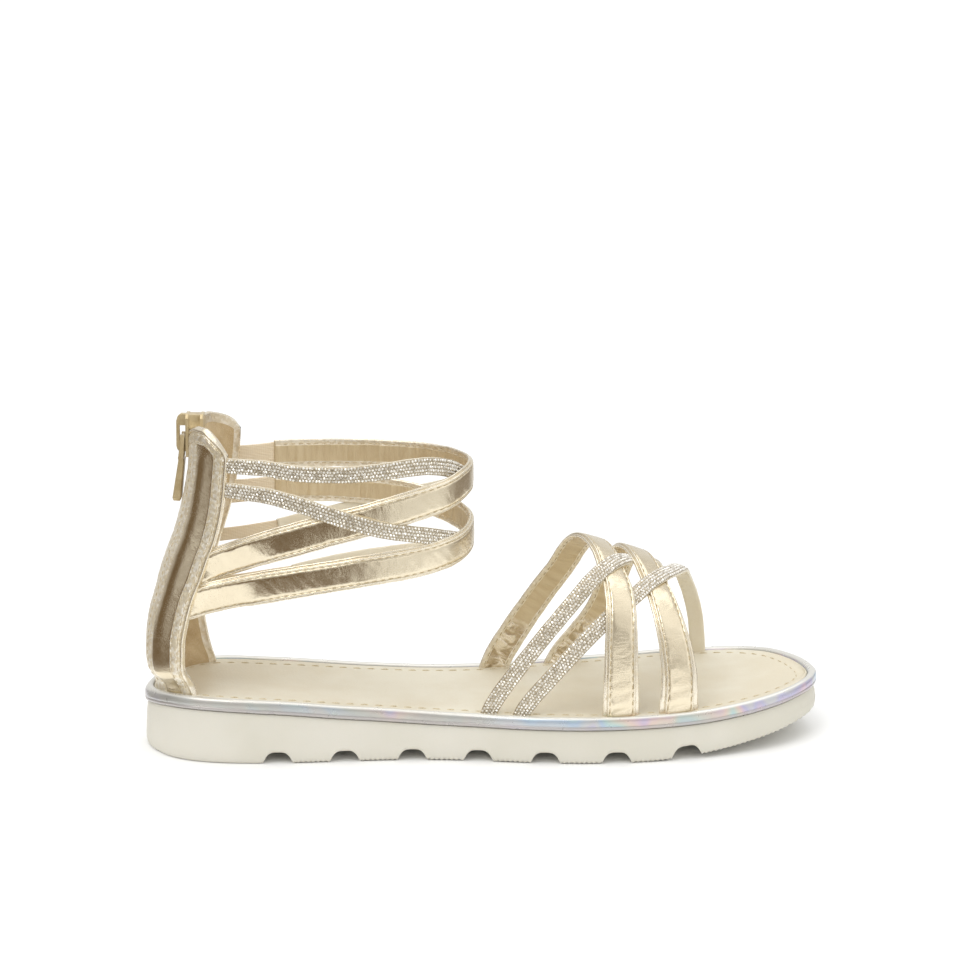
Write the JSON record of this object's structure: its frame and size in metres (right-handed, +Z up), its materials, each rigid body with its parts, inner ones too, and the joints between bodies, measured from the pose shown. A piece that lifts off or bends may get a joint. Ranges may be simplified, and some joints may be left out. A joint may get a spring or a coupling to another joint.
{
  "type": "gladiator sandal",
  "caption": "Flat child's sandal for the right foot: woven gold and rhinestone straps over forefoot and ankle, zipped heel panels, lugged light sole.",
  "frame": {"origin": "middle of the bounding box on the floor the sole stands on", "axes": "+X towards the toe, +Y towards the medial side, +Z up"},
  "size_m": [0.2092, 0.0816, 0.104],
  "materials": {
    "sole_rubber": "smooth matt, ivory",
    "rand_film": "silver holographic film",
    "insole_leather": "smooth cream",
    "strap_leather": "metallic champagne gold",
    "quarter_leather": "metallic champagne gold",
    "elastic_fabric": "ribbed beige elastic",
    "zip_fabric": "beige tape with moulded teeth",
    "zip_metal": "satin pale gold"
  },
  "bodies": {
    "shoe": {"outsole": "sole_rubber", "rand": "rand_film", "insole": "insole_leather", "vamp_straps": "strap_leather", "ankle_straps": "strap_leather", "quarter_lateral": "quarter_leather", "quarter_medial": "quarter_leather", "elastic_gold_high": "elastic_fabric", "elastic_gold_low": "elastic_fabric", "elastic_stone_high": "elastic_fabric", "elastic_stone_low": "elastic_fabric", "zip_tape": "zip_fabric", "zip_slider": "zip_metal"},
    "pull": {"zip_pull": "zip_metal"}
  },
  "joints": [
    {"name": "zip_pull_swing", "type": "hinge", "parent": "shoe", "child": "pull", "pos_m": [-0.09126, -0.01339, 0.0969], "axis": [0, 1, 0], "range_deg": [0, 140]}
  ]
}
